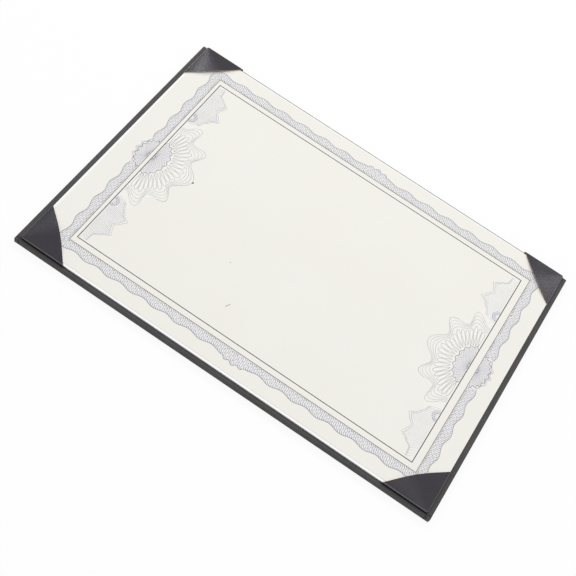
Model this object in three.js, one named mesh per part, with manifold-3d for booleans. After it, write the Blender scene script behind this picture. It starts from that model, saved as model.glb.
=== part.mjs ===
// Certificate cover: a leatherette-covered board with four corner pockets that hold a printed A4 sheet.
//
// Millimetres, +Z up. The cover lies on its back. The origin is the centre of its underside, +X runs along
// the long side and +Y from the near long edge to the far one.

import * as THREE from "three";
import { mergeVertices } from "three/addons/utils/BufferGeometryUtils.js";
import Module from "manifold-3d";

// Driving dimensions: the sheet and the card it lies on
const SHEET_LENGTH = 297;
const SHEET_WIDTH = 210;
const SHEET_THICKNESS = 0.3;
const PLAY_LENGTHWISE = 1.5; // how far the liner card is longer than the sheet
const PLAY_ACROSS = 0.9; // and how far it is wider
const LINER_THICKNESS = 1.0;

// Driving dimensions: the covered board and the rim that it leaves round the liner card
const RIM_LEFT = 4;
const RIM_RIGHT = 4;
const RIM_NEAR = 3;
const RIM_FAR = 0.65;
const BOARD_THICKNESS = 3.1;
const LEATHERETTE = 0.45;
const BOARD_CLEARANCE = 0.3;
const CORNER_RADIUS = 0.8; // of the cover, seen from above
const EDGE_RADIUS = 0.6; // where the leatherette turns over the board's edges
const TURN_IN = 15;
const MITRE_GAP = 0.3;
const MITRE_STOP = 2.2; // the seam ends this far from the cover's sharp corner

// Driving dimensions: the corner pockets. They are cut by hand, so no two are quite alike. A leg runs from
// the pocket's folded corner to one end of its mouth, clockwise and anticlockwise seen from above
const LEGS_NEAR_LEFT = [33.7, 33.7];
const LEGS_NEAR_RIGHT = [33.2, 33];
const LEGS_FAR_RIGHT = [32.3, 30];
const LEGS_FAR_LEFT = [31, 31];
const POCKET_CLEARANCE = 0.15;
const POCKET_CORNER_RADIUS = 0.8;
const POCKET_FOLD_BEVEL = 0.3;
const MOUTH_BOW = 1.2; // the cut edge bows this far out of a straight line
const MOUTH_LIFT = 1.3; // the flap's cut edge stands this much higher in its middle
const MOUTH_STEPS = 16;
const TAB_WIDTH = 9;
const TAB_CLEARANCE = 0.3;

// Driving dimensions: the print. Margins run from the sheet's edges to the middle of each line
const INK_FILM = 0.06;
const INNER_LINE_WIDTH = 0.5;
const INNER_MARGIN = { left: 24.1, right: 22.8, near: 21.3, far: 23.1 };
const OUTER_LINE_WIDTH = 0.3;
const OUTER_MARGIN = { left: 21.3, right: 17.7, near: 16.9, far: 18.9 };
const PRINT_GAP = 0.3; // bare paper left between neighbouring fields of ink
const RIBBON_WIDTH = 6.2;
const SCALLOP_DEPTH = 0.9; // the ribbon's outer edge swings this far to each side
const SCALLOP_LENGTH = 17;
const SCALLOP_STEPS = 10;
const CREST_LENGTH = 29; // the raised crest in the middle of each long side of the ribbon
const CREST_HEIGHT = 9;
const CREST_LOBE_DEPTH = 0.9;
const CREST_LOBES = 5;
const DISC_DEPTH = 9.8; // half disc inside the frame, in the middle of each short side
const DISC_LENGTH = 31;
const OUTER_DISC_DEPTH = 8; // and its other half, outside the frame, set in the ribbon
const OUTER_DISC_LENGTH = 26;
const FRINGE_RISE = 1.8; // the ribbon's fringe round that half reaches this far beyond it
const FRINGE_END = 1.5; // and this far beyond each of its ends
const DISC_LOBE_DEPTH = 0.45;
const DISC_LOBES = 9;
const DISC_STEPS = 72;
// Half of the fan's edge, as [distance from the middle of the side, distance from the frame line],
// from its tip to the frame's corner: points of the lobes and the hollows between them
const FAN_EDGE = [
  [0, 31.5],
  [12.5, 21.5],
  [23.3, 25.8],
  [31, 14.5],
  [41.5, 13.5],
  [47.5, 10],
  [54.5, 17.2],
  [61.5, 11.5],
  [68.5, 15],
  [75.5, 5.6],
];
const FAN_END_GAP = 1.2; // the fan stops this far from the frame's corners

// Levels above the underside
const boardBottom = LEATHERETTE;
const boardTop = boardBottom + BOARD_THICKNESS;
const coverTop = boardTop + LEATHERETTE;
const linerTop = coverTop + LINER_THICKNESS;
const sheetTop = linerTop + SHEET_THICKNESS;
const tabTop = coverTop + LEATHERETTE;
const flapUnderside = sheetTop + POCKET_CLEARANCE;
const flapTop = flapUnderside + LEATHERETTE;

// Places seen from above
const linerLength = SHEET_LENGTH + PLAY_LENGTHWISE;
const linerWidth = SHEET_WIDTH + PLAY_ACROSS;
const coverLength = RIM_LEFT + linerLength + RIM_RIGHT;
const coverWidth = RIM_NEAR + linerWidth + RIM_FAR;
const linerX = (RIM_LEFT - RIM_RIGHT) / 2;
const linerY = (RIM_NEAR - RIM_FAR) / 2;
const sheetX = linerX + PLAY_LENGTHWISE / 2; // the sheet has slid to the far right in its pockets
const sheetY = linerY + PLAY_ACROSS / 2;
const pocketReach = LEATHERETTE + POCKET_CLEARANCE;

const leatherette = new THREE.MeshStandardMaterial({ color: 0x3b393d, roughness: 0.62, metalness: 0 });
const greyboard = new THREE.MeshStandardMaterial({ color: 0x8d877c, roughness: 0.95, metalness: 0 });
const linerCard = new THREE.MeshStandardMaterial({ color: 0xf4f4f2, roughness: 0.8, metalness: 0 });
const creamPaper = new THREE.MeshStandardMaterial({ color: 0xefece4, roughness: 0.85, metalness: 0 });
const darkInk = new THREE.MeshStandardMaterial({ color: 0x6f6d70, roughness: 0.8, metalness: 0 });
const ribbonInk = new THREE.MeshStandardMaterial({ color: 0xcfcfd4, roughness: 0.85, metalness: 0 });
const fanInk = new THREE.MeshStandardMaterial({ color: 0xe0e1de, roughness: 0.85, metalness: 0 });
const discInk = new THREE.MeshStandardMaterial({ color: 0xc4c4ca, roughness: 0.85, metalness: 0 });

const wasm = await Module();
wasm.setup();

function toSolid(geometry) {
  let plain = geometry.index ? geometry.clone() : geometry;
  plain.deleteAttribute("normal");
  plain.deleteAttribute("uv");
  plain = mergeVertices(plain, 1e-5);
  return new wasm.Manifold(
    new wasm.Mesh({
      numProp: 3,
      vertProperties: new Float32Array(plain.attributes.position.array),
      triVerts: new Uint32Array(plain.index.array),
    }),
  );
}

function fromSolid(solid) {
  const mesh = solid.getMesh();
  const geometry = new THREE.BufferGeometry();
  geometry.setAttribute("position", new THREE.BufferAttribute(new Float32Array(mesh.vertProperties), 3));
  geometry.setIndex(new THREE.BufferAttribute(new Uint32Array(mesh.triVerts), 1));
  geometry.computeVertexNormals();
  return geometry;
}

// A body skinned over rings of equal point count, from a cap on the first ring to a cap on the last.
// The rings run anticlockwise seen from above. capCentre is the point that both caps fan out from
function skinRings(rings, capCentre = 0) {
  const count = rings[0].length;
  const positions = rings.flat().flatMap((p) => [p.x, p.y, p.z]);
  const index = [];
  for (let level = 0; level + 1 < rings.length; level++) {
    for (let i = 0; i < count; i++) {
      const a = level * count + i;
      const b = level * count + ((i + 1) % count);
      index.push(a, b, b + count);
      index.push(a, b + count, a + count);
    }
  }
  const last = (rings.length - 1) * count;
  for (let i = 1; i + 1 < count; i++) {
    const p = (capCentre + i) % count;
    const q = (capCentre + i + 1) % count;
    index.push(capCentre, q, p);
    index.push(last + capCentre, last + p, last + q);
  }
  const geometry = new THREE.BufferGeometry();
  geometry.setAttribute("position", new THREE.Float32BufferAttribute(positions, 3));
  geometry.setIndex(index);
  geometry.computeVertexNormals();
  return geometry;
}

// A flat plate with the given outline, from one height to another
function plate(outline, bottom, top, holes = []) {
  const shape = new THREE.Shape(outline.map(([x, y]) => new THREE.Vector2(x, y)));
  for (const hole of holes) {
    shape.holes.push(new THREE.Path(hole.map(([x, y]) => new THREE.Vector2(x, y))));
  }
  const geometry = new THREE.ExtrudeGeometry(shape, { depth: top - bottom, bevelEnabled: false });
  geometry.translate(0, 0, bottom);
  return geometry;
}

// The cover's outline moved inwards by inset, at one height. Its corners stay a little round
function coverRing(inset, z) {
  const halfX = coverLength / 2 - inset;
  const halfY = coverWidth / 2 - inset;
  const radius = Math.max(CORNER_RADIUS - inset, 0.25);
  const steps = 4;
  const ring = [];
  for (const [sx, sy, start] of [
    [1, -1, -90],
    [1, 1, 0],
    [-1, 1, 90],
    [-1, -1, 180],
  ]) {
    for (let i = 0; i <= steps; i++) {
      const angle = THREE.MathUtils.degToRad(start + (90 * i) / steps);
      const x = sx * (halfX - radius) + radius * Math.cos(angle);
      const y = sy * (halfY - radius) + radius * Math.sin(angle);
      ring.push(new THREE.Vector3(x, y, z));
    }
  }
  return ring;
}

// Rings that turn the cover's edge round, from flat underside to wall, or from wall to flat face
function edgeRings(levelZ, direction) {
  const steps = 4;
  const rings = [];
  for (let i = 0; i <= steps; i++) {
    const angle = (Math.PI / 2) * (direction > 0 ? 1 - i / steps : i / steps);
    const inset = EDGE_RADIUS * (1 - Math.cos(angle));
    const rise = EDGE_RADIUS * (1 - Math.sin(angle));
    rings.push(coverRing(inset, levelZ + direction * rise));
  }
  return rings;
}

// The leatherette skin: back, rounded edges and turn-ins round an open window, then the inside walls.
// A mitre seam is cut through the turn-ins at each corner
function coverWrap() {
  const skin = toSolid(
    skinRings([
      ...edgeRings(0, 1),
      ...edgeRings(coverTop, -1),
      coverRing(TURN_IN, coverTop),
      coverRing(TURN_IN, boardTop),
      coverRing(LEATHERETTE, boardTop),
      coverRing(LEATHERETTE, boardBottom),
    ]),
  );
  let cut = skin;
  const half = MITRE_GAP / 2;
  const start = MITRE_STOP;
  const end = TURN_IN + MITRE_GAP;
  for (const [sx, sy] of [
    [1, 1],
    [-1, 1],
    [-1, -1],
    [1, -1],
  ]) {
    const cornerX = (sx * coverLength) / 2;
    const cornerY = (sy * coverWidth) / 2;
    const seam = [
      [start - half, start + half],
      [end - half, end + half],
      [end + half, end - half],
      [start + half, start - half],
    ].map(([u, v]) => [cornerX - sx * u, cornerY - sy * v]);
    cut = cut.subtract(toSolid(plate(seam, boardTop - LEATHERETTE, coverTop + LEATHERETTE)));
  }
  return fromSolid(cut);
}

function coverBoard() {
  const inset = LEATHERETTE + BOARD_CLEARANCE;
  return skinRings([coverRing(inset, boardBottom), coverRing(inset, boardTop)]);
}

function rectangle(centreX, centreY, length, width) {
  const x = length / 2;
  const y = width / 2;
  return [
    [centreX - x, centreY - y],
    [centreX + x, centreY - y],
    [centreX + x, centreY + y],
    [centreX - x, centreY + y],
  ];
}

// The four pockets have one form, turned by quarter turns. Each entry gives its corner of the liner card
const POCKETS = [
  { name: "pocket_near_left", turn: 0, sx: -1, sy: -1, legs: LEGS_NEAR_LEFT },
  { name: "pocket_near_right", turn: 1, sx: 1, sy: -1, legs: LEGS_NEAR_RIGHT },
  { name: "pocket_far_right", turn: 2, sx: 1, sy: 1, legs: LEGS_FAR_RIGHT },
  { name: "pocket_far_left", turn: 3, sx: -1, sy: 1, legs: LEGS_FAR_LEFT },
].map((pocket) => ({
  ...pocket,
  x: linerX + pocket.sx * (linerLength / 2 + pocketReach),
  y: linerY + pocket.sy * (linerWidth / 2 + pocketReach),
}));

// The liner card, with its underside pressed in where the pockets' tabs lie
function linerPanel() {
  const tab = TAB_WIDTH + TAB_CLEARANCE;
  const past = -1;
  let card = toSolid(plate(rectangle(linerX, linerY, linerLength, linerWidth), coverTop, linerTop));
  for (const pocket of POCKETS) {
    const reach = Math.max(...pocket.legs) + MOUTH_BOW + TAB_CLEARANCE;
    const seat = [
      [past, past],
      [reach - past, past],
      [reach - tab, tab],
      [tab, tab],
      [tab, reach - tab],
      [past, reach - past],
    ];
    const geometry = plate(seat, coverTop - LEATHERETTE, tabTop);
    geometry.rotateZ((pocket.turn * Math.PI) / 2);
    geometry.translate(pocket.x, pocket.y, 0);
    card = card.subtract(toSolid(geometry));
  }
  return fromSolid(card);
}

// The pocket's outline in its own corner: the folded corner, the end of one leg, the bowed mouth and the
// end of the other leg. grow stretches the mouth away from the corner
function pocketRing(legs, inset, grow, height, lift) {
  const radius = POCKET_CORNER_RADIUS;
  const ring = [];
  for (const degrees of [180, 225, 270]) {
    const angle = THREE.MathUtils.degToRad(degrees);
    const round = radius - inset;
    ring.push(new THREE.Vector3(radius + round * Math.cos(angle), radius + round * Math.sin(angle), height));
  }
  const from = new THREE.Vector2(legs[0] - inset, inset);
  const to = new THREE.Vector2(inset, legs[1] - inset);
  for (let i = 0; i <= MOUTH_STEPS; i++) {
    const t = i / MOUTH_STEPS;
    const bump = 4 * t * (1 - t);
    const point = from.clone().lerp(to, t);
    point.addScalar((MOUTH_BOW * bump) / Math.SQRT2);
    point.addScalar(grow);
    if (i === 0) point.y = inset;
    if (i === MOUTH_STEPS) point.x = inset;
    const rise = lift * Math.sin(Math.PI * t) ** 2 * (1 + (grow * Math.SQRT2) / legs[0]);
    ring.push(new THREE.Vector3(point.x, point.y, height + rise));
  }
  return ring;
}

// One pocket: a flap that rises like a shallow cone from its corner to its mouth, two folded sides and two
// tabs under the liner card, mitred where they meet
function cornerPocket(legs) {
  const apex = 1;
  const pastMouth = 3;
  const outside = skinRings(
    [
      pocketRing(legs, 0, 0, coverTop, 0),
      pocketRing(legs, 0, 0, flapTop - POCKET_FOLD_BEVEL, 0),
      pocketRing(legs, POCKET_FOLD_BEVEL, 0, flapTop, MOUTH_LIFT),
    ],
    apex,
  );
  const inside = skinRings(
    [
      pocketRing(legs, LEATHERETTE, pastMouth, tabTop, 0),
      pocketRing(legs, LEATHERETTE, pastMouth, flapUnderside, MOUTH_LIFT),
    ],
    apex,
  );
  const far = (legs[0] + legs[1]) * 2;
  const window = plate(
    [
      [TAB_WIDTH, TAB_WIDTH],
      [far, TAB_WIDTH],
      [TAB_WIDTH, far],
    ],
    coverTop - LEATHERETTE,
    tabTop + LEATHERETTE / 2,
  );
  const half = MITRE_GAP / 2;
  const seam = plate(
    [
      [POCKET_CORNER_RADIUS + half, POCKET_CORNER_RADIUS - half],
      [TAB_WIDTH + MITRE_GAP + half, TAB_WIDTH + MITRE_GAP - half],
      [TAB_WIDTH + MITRE_GAP - half, TAB_WIDTH + MITRE_GAP + half],
      [POCKET_CORNER_RADIUS - half, POCKET_CORNER_RADIUS + half],
    ],
    coverTop - LEATHERETTE,
    tabTop + LEATHERETTE / 2,
  );
  return fromSolid(
    toSolid(outside).subtract(toSolid(inside)).subtract(toSolid(window)).subtract(toSolid(seam)),
  );
}

// A rectangle on the sheet, by its margins from the sheet's edges
function printBox(margin) {
  return {
    left: sheetX - SHEET_LENGTH / 2 + margin.left,
    right: sheetX + SHEET_LENGTH / 2 - margin.right,
    near: sheetY - SHEET_WIDTH / 2 + margin.near,
    far: sheetY + SHEET_WIDTH / 2 - margin.far,
  };
}

// The outline of such a rectangle, moved outwards by grow
function boxOutline(box, grow) {
  return [
    [box.left - grow, box.near - grow],
    [box.right + grow, box.near - grow],
    [box.right + grow, box.far + grow],
    [box.left - grow, box.far + grow],
  ];
}

function ink(outline, holes = []) {
  return plate(outline, sheetTop, sheetTop + INK_FILM, holes);
}

function frameLine(margin, width) {
  const box = printBox(margin);
  return ink(boxOutline(box, width / 2), [boxOutline(box, -width / 2)]);
}

// How far the ribbon reaches out of the frame at a place along one side: scallops, and a lobed crest in
// the middle. The scallops come out even, so that the corners match
function ribbonReach(along, sideLength, crest) {
  const scallops = Math.max(1, Math.round(sideLength / SCALLOP_LENGTH));
  const wave = RIBBON_WIDTH + SCALLOP_DEPTH * Math.cos((2 * Math.PI * scallops * along) / sideLength);
  const across = (along - sideLength / 2) / (crest.length / 2);
  if (Math.abs(across) >= 1) return wave;
  const dome = crest.height * Math.sqrt(1 - across ** 2);
  const lobe = CREST_LOBE_DEPTH * Math.cos(Math.PI * across * CREST_LOBES) * (1 - across ** 2);
  return Math.max(wave, dome + lobe);
}

// The edge of a lobed half disc that stands on a frame line, as [distance along it, distance from it]. gap
// grows it, where bare paper is left round it
function discEdge(depth, length, gap) {
  const edge = [];
  for (let i = 0; i <= DISC_STEPS; i++) {
    const angle = Math.PI * (i / DISC_STEPS - 0.5);
    const lobe = DISC_LOBE_DEPTH * Math.cos(2 * DISC_LOBES * angle) + gap;
    const v = (length / 2 + lobe) * Math.sin(angle);
    const u = (depth + lobe) * Math.cos(angle);
    edge.push([v, Math.max(u, 0)]);
  }
  return edge;
}

// Places for the outer half rosettes: u runs outwards from the ribbon's inner edge, v along it
function outerPlace(side) {
  const box = printBox(OUTER_MARGIN);
  const line = side < 0 ? box.left : box.right;
  const middle = (box.near + box.far) / 2;
  const start = OUTER_LINE_WIDTH / 2 + PRINT_GAP;
  return ([v, u]) => [line + side * (start + u), middle + v];
}

// The woven border: a band round the outer frame line, scalloped outside, and straight inside but for the
// two places where a half rosette is set in it
function printRibbon() {
  const box = printBox(OUTER_MARGIN);
  const edge = OUTER_LINE_WIDTH / 2;
  const corners = boxOutline(box, edge).map(([x, y]) => new THREE.Vector2(x, y));
  const plainCrest = { length: CREST_LENGTH, height: CREST_HEIGHT };
  const fringe = { length: OUTER_DISC_LENGTH + 2 * FRINGE_END, height: OUTER_DISC_DEPTH + FRINGE_RISE };
  const outline = [];
  for (let side = 0; side < corners.length; side++) {
    const from = corners[side];
    const to = corners[(side + 1) % corners.length];
    const length = from.distanceTo(to);
    const outward = new THREE.Vector2(to.y - from.y, from.x - to.x).normalize();
    const crest = side % 2 === 0 ? plainCrest : fringe;
    const steps = Math.round((length / SCALLOP_LENGTH) * SCALLOP_STEPS);
    for (let i = 0; i <= steps; i++) {
      const point = from.clone().lerp(to, i / steps);
      point.addScaledVector(outward, ribbonReach((length * i) / steps, length, crest));
      outline.push([point.x, point.y]);
    }
    const round = 5;
    for (let i = 1; i < round; i++) {
      const turned = outward.clone().rotateAround(new THREE.Vector2(), (Math.PI / 2) * (i / round));
      const point = to.clone().addScaledVector(turned, ribbonReach(0, length, crest));
      outline.push([point.x, point.y]);
    }
  }
  const [nearLeft, nearRight, farRight, farLeft] = boxOutline(box, edge + PRINT_GAP);
  const bay = discEdge(OUTER_DISC_DEPTH, OUTER_DISC_LENGTH, PRINT_GAP);
  const rightBay = bay.map(outerPlace(1));
  const leftBay = bay.map(outerPlace(-1)).reverse();
  return ink(outline, [[nearLeft, nearRight, ...rightBay, farRight, farLeft, ...leftBay]]);
}

// Places for the half rosettes: u runs inwards from the inner frame line, v along it from its middle
function rosettePlace(side) {
  const box = printBox(INNER_MARGIN);
  const line = side < 0 ? box.left : box.right;
  const middle = (box.near + box.far) / 2;
  const start = INNER_LINE_WIDTH / 2 + PRINT_GAP;
  return ([v, u]) => [line - side * (start + u), middle + v];
}

function wound(outline) {
  const points = outline.map(([x, y]) => new THREE.Vector2(x, y));
  return THREE.ShapeUtils.isClockWise(points) ? outline.slice().reverse() : outline;
}

function printDisc(side) {
  return ink(wound(discEdge(DISC_DEPTH, DISC_LENGTH, 0).map(rosettePlace(side))));
}

function printOuterDisc(side) {
  return ink(wound(discEdge(OUTER_DISC_DEPTH, OUTER_DISC_LENGTH, 0).map(outerPlace(side))));
}

// The fan: the field between the half disc and a lobed edge that runs down to the frame's corners
function printFan(side) {
  const box = printBox(INNER_MARGIN);
  const half = (box.far - box.near) / 2 - INNER_LINE_WIDTH / 2 - FAN_END_GAP;
  const last = FAN_EDGE[FAN_EDGE.length - 1];
  const flank = [...FAN_EDGE.slice(1), [half, last[1]], [half, 0]];
  const lower = flank.map(([v, u]) => [-v, u]).reverse();
  const disc = discEdge(DISC_DEPTH, DISC_LENGTH, PRINT_GAP).reverse();
  return ink(wound([...lower, FAN_EDGE[0], ...flank, ...disc].map(rosettePlace(side))));
}

const cover = new THREE.Group();

function add(name, geometry, material) {
  const mesh = new THREE.Mesh(geometry, material);
  mesh.name = name;
  cover.add(mesh);
  return mesh;
}

add("cover_board", coverBoard(), greyboard);
add("cover_wrap", coverWrap(), leatherette);
add("liner_panel", linerPanel(), linerCard);

const sheet = add(
  "certificate_sheet",
  new THREE.BoxGeometry(SHEET_LENGTH, SHEET_WIDTH, SHEET_THICKNESS),
  creamPaper,
);
sheet.position.set(sheetX, sheetY, (linerTop + sheetTop) / 2);

for (const pocket of POCKETS) {
  const mesh = add(pocket.name, cornerPocket(pocket.legs), leatherette);
  mesh.position.set(pocket.x, pocket.y, 0);
  mesh.rotation.z = (pocket.turn * Math.PI) / 2;
}

add("print_inner_line", frameLine(INNER_MARGIN, INNER_LINE_WIDTH), darkInk);
add("print_outer_line", frameLine(OUTER_MARGIN, OUTER_LINE_WIDTH), darkInk);
add("print_ribbon", printRibbon(), ribbonInk);
add("print_disc_left", printDisc(-1), discInk);
add("print_disc_right", printDisc(1), discInk);
add("print_outer_disc_left", printOuterDisc(-1), discInk);
add("print_outer_disc_right", printOuterDisc(1), discInk);
add("print_fan_left", printFan(-1), fanInk);
add("print_fan_right", printFan(1), fanInk);

export default cover;
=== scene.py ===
# %% [markdown]
# A certificate cover lies flat on a pale floor: a stiff board in black leatherette, four leatherette corner
# pockets, and one cream certificate sheet with a fine printed border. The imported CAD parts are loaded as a
# fixed frame and keep their meshes. What CAD leaves plain is added here: soft folded pockets, the hair-thin
# print, the finishes, the light and the camera.

import math

import bmesh
import bpy
from mathutils import Matrix, Vector, noise


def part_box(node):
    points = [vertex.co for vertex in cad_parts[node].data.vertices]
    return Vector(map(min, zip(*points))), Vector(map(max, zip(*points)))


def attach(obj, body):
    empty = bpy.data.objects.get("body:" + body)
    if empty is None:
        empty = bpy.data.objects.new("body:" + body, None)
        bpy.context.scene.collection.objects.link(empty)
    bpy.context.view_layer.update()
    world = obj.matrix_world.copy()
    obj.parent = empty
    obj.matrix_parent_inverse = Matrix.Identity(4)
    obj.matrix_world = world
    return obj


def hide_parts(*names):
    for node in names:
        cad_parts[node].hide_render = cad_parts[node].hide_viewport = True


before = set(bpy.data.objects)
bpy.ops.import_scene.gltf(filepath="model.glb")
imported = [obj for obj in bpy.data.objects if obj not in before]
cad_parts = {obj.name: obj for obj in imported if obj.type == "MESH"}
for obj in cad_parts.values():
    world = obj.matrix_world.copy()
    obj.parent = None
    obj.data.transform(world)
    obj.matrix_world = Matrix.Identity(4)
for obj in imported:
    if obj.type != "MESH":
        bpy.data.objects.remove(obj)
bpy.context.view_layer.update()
MM = 0.001
print("CAD nodes:", sorted(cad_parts))

# %% [markdown]
# Every place comes from the frame. The sheet and the two printed frame lines give the page, and the four
# pockets give their corners. Working in millimetres keeps the numbers easy to read, so one helper turns a
# box of metres into a box of millimetres. A pocket stands on the wrap, and its flap lies just above the
# sheet.

# %% Places taken from the frame
class Box:
    def __init__(self, node):
        low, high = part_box(node)
        self.left, self.near = (value / MM for value in low[:2])
        self.right, self.far, self.top = (value / MM for value in high)
        self.middle_y = (self.near + self.far) / 2


sheet = Box("certificate_sheet")
cover = Box("cover_wrap")
inner_line = Box("print_inner_line")
outer_line = Box("print_outer_line")
FLAP_RISE = 0.6
FLAP_TOP = sheet.top + FLAP_RISE
POCKET_FOOT = cover.top
print("sheet", round(sheet.right - sheet.left, 1), "x", round(sheet.far - sheet.near, 1), "mm")

# %% [markdown]
# The camera looks down on the cover from its near side and is rolled, so that the long side runs across the
# picture from upper left to lower right. Its place and its two directions were solved from the four corners
# of the cover. A long lens gives the mild perspective.

# %% Camera
IMAGE_SIZE = 576
SENSOR_WIDTH = 36.0
FOCAL_PIXELS = 1150.975
CAMERA_PLACE = Vector((75.15, -427.73, 622.8)) * MM
CAMERA_LOOK = Vector((-0.0991, 0.5419, -0.8346)).normalized()
CAMERA_UP = Vector((-0.5509, 0.6686, 0.4995)).normalized()
NEAREST_SEEN = 0.01


def add_object(name, data):
    made = bpy.data.objects.new(name, data)
    bpy.context.scene.collection.objects.link(made)
    return made


def make_camera():
    data = bpy.data.cameras.new("camera")
    data.sensor_width = SENSOR_WIDTH
    data.lens = FOCAL_PIXELS / IMAGE_SIZE * SENSOR_WIDTH
    data.clip_start = NEAREST_SEEN
    data.dof.use_dof = False
    right = CAMERA_LOOK.cross(CAMERA_UP).normalized()
    up = right.cross(CAMERA_LOOK)
    turn = Matrix((right, up, -CAMERA_LOOK)).transposed().to_4x4()
    camera = add_object("camera", data)
    camera.matrix_world = Matrix.Translation(CAMERA_PLACE) @ turn
    bpy.context.scene.camera = camera
    return camera


camera = make_camera()
print("lens", round(camera.data.lens, 2), "mm")

# %% [markdown]
# Materials are built from nodes. Helpers keep them short: one starts a material with its Principled shader,
# and one adds a node and feeds its sockets. A value that is the same all over is set on the shader's own
# socket.

# %% Helpers: nodes and materials
def feed(tree, socket, value):
    """Links a value that another node gives, and sets any other value on the socket itself."""
    if isinstance(value, bpy.types.NodeSocket):
        tree.links.new(value, socket)
    else:
        socket.default_value = value


def add_node(tree, kind, values=None, **settings):
    node = tree.nodes.new(kind)
    for key, setting in settings.items():
        setattr(node, key, setting)
    for socket, value in (values or {}).items():
        feed(tree, node.inputs[socket], value)
    return node


def new_material(name, **constants):
    material = bpy.data.materials.new(name)
    material.use_nodes = True
    tree = material.node_tree
    shader = tree.nodes["Principled BSDF"]
    for socket, value in constants.items():
        shader.inputs[socket.replace("_", " ")].default_value = value
    place = add_node(tree, "ShaderNodeTexCoord").outputs["Object"]
    return material, tree, shader, place


print("a material starts with its Principled shader")

# %% [markdown]
# An effect that more than one material uses is a node group with named inputs and outputs. The other helpers
# here are the nodes that come up again and again: mixed colours, arithmetic, a change of range and a relief.

# %% Helpers: node groups and common nodes
def new_group(name, numbers, outputs):
    """Starts a group that takes a place and some numbers with their defaults, and gives other numbers."""
    tree = bpy.data.node_groups.new(name, "ShaderNodeTree")
    tree.interface.new_socket("Place", in_out="INPUT", socket_type="NodeSocketVector")
    for socket, default in numbers.items():
        made = tree.interface.new_socket(socket, in_out="INPUT", socket_type="NodeSocketFloat")
        made.default_value = default
    for socket in outputs:
        tree.interface.new_socket(socket, in_out="OUTPUT", socket_type="NodeSocketFloat")
    source = tree.nodes.new("NodeGroupInput").outputs
    target = tree.nodes.new("NodeGroupOutput").inputs
    return tree, source, target


def use_group(tree, group, **values):
    values = {socket.replace("_", " "): value for socket, value in values.items()}
    return add_node(tree, "ShaderNodeGroup", values, node_tree=group)


def mix_colors(tree, amount, first, second):
    """Mixes two colours. The mix node has sockets of every kind: 0, 6 and 7 in and 2 out are the colours'."""
    return add_node(tree, "ShaderNodeMix", {0: amount, 6: first, 7: second}, data_type="RGBA").outputs[2]


def compute(tree, operation, *values):
    return add_node(tree, "ShaderNodeMath", dict(enumerate(values)), operation=operation).outputs[0]


def change_range(tree, value, old=(0.0, 1.0), new=(0.0, 1.0)):
    values = {"Value": value, "From Min": old[0], "From Max": old[1], "To Min": new[0], "To Max": new[1]}
    return add_node(tree, "ShaderNodeMapRange", values).outputs[0]


def add_relief(tree, shader, height, strength, depth):
    """Gives the shader a bump that is so many millimetres deep."""
    values = {"Height": height, "Strength": strength, "Distance": depth * MM}
    feed(tree, shader.inputs["Normal"], add_node(tree, "ShaderNodeBump", values).outputs[0])


print("helpers for nodes are ready")

# %% [markdown]
# Leatherette has a fine pebbled skin with shallow creases, and it looks a little cloudy where hands have
# rubbed it. Both are one node group, because the wrap and the pockets use it with different values: Voronoi
# cells give the pebbles, and soft noise gives the cloudiness.

# %% Node group: leatherette grain
CREASE_RANGE = (0.35, 0.75)
RUB_RANGE = (0.35, 0.7)


def make_grain_group():
    numbers = {"Pebbles per metre": 1500.0, "Clouds per metre": 30.0}
    tree, source, target = new_group("leatherette grain", numbers, ["Height", "Rub", "Crease"])
    values = {"Vector": source["Place"], "Scale": source["Pebbles per metre"]}
    cells = add_node(tree, "ShaderNodeTexVoronoi", {**values, "Randomness": 0.9}, feature="SMOOTH_F1")
    fine = add_node(tree, "ShaderNodeTexNoise", {**values, "Detail": 4.0})
    height = compute(tree, "SUBTRACT", cells.outputs["Distance"], fine.outputs["Fac"])
    crease = change_range(tree, cells.outputs["Distance"], CREASE_RANGE)
    values = {"Vector": source["Place"], "Scale": source["Clouds per metre"]}
    clouds = add_node(tree, "ShaderNodeTexNoise", {**values, "Detail": 5.0, "Roughness": 0.6})
    rub = change_range(tree, clouds.outputs["Fac"], RUB_RANGE)
    tree.links.new(height, target["Height"])
    tree.links.new(rub, target["Rub"])
    tree.links.new(crease, target["Crease"])
    return tree


grain_group = make_grain_group()
print("made", grain_group.name)

# %% [markdown]
# Paper and card are never one even tone. Stretched noise gives the fibres and a slow noise gives the faint
# clouds that show in a sheet held to the light. The group gives both, and each material decides how strongly
# it uses them.

# %% Node group: paper fibre
FIBRE_STRETCH = (1.0, 0.28, 1.0)


def make_fibre_group():
    numbers = {"Fibres per metre": 900.0, "Clouds per metre": 14.0}
    tree, source, target = new_group("paper fibre", numbers, ["Fibre", "Cloud"])
    stretched = add_node(
        tree, "ShaderNodeVectorMath", {0: source["Place"], 1: FIBRE_STRETCH}, operation="MULTIPLY"
    )
    values = {"Vector": stretched.outputs[0], "Scale": source["Fibres per metre"]}
    fibre = add_node(tree, "ShaderNodeTexNoise", {**values, "Detail": 6.0, "Roughness": 0.7})
    values = {"Vector": source["Place"], "Scale": source["Clouds per metre"]}
    cloud = add_node(tree, "ShaderNodeTexNoise", {**values, "Detail": 3.0})
    tree.links.new(fibre.outputs["Fac"], target["Fibre"])
    tree.links.new(cloud.outputs["Fac"], target["Cloud"])
    return tree


fibre_group = make_fibre_group()
print("made", fibre_group.name)

# %% [markdown]
# Where a pocket stands on the wrap, shade falls in a thin groove along its folded sides, and it is painted
# into the wrap's colour as a dark painted shade. This group gives a share from 0 to 1 of how near a place is
# to them. The cover is nearly the same left and right, so distances from its middle serve both ends. On the
# far side the rim is too narrow to show a groove.

# %% Node group: painted shade in the groove beside the pockets
GROOVE_WIDTH = 1.0


def near_line(tree, distance, line):
    """1 on a line, falling to 0 a groove's width away from it."""
    away = compute(tree, "ABSOLUTE", compute(tree, "SUBTRACT", distance, line * MM))
    return change_range(tree, away, (0.0, GROOVE_WIDTH * MM), (1.0, 0.0))


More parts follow.
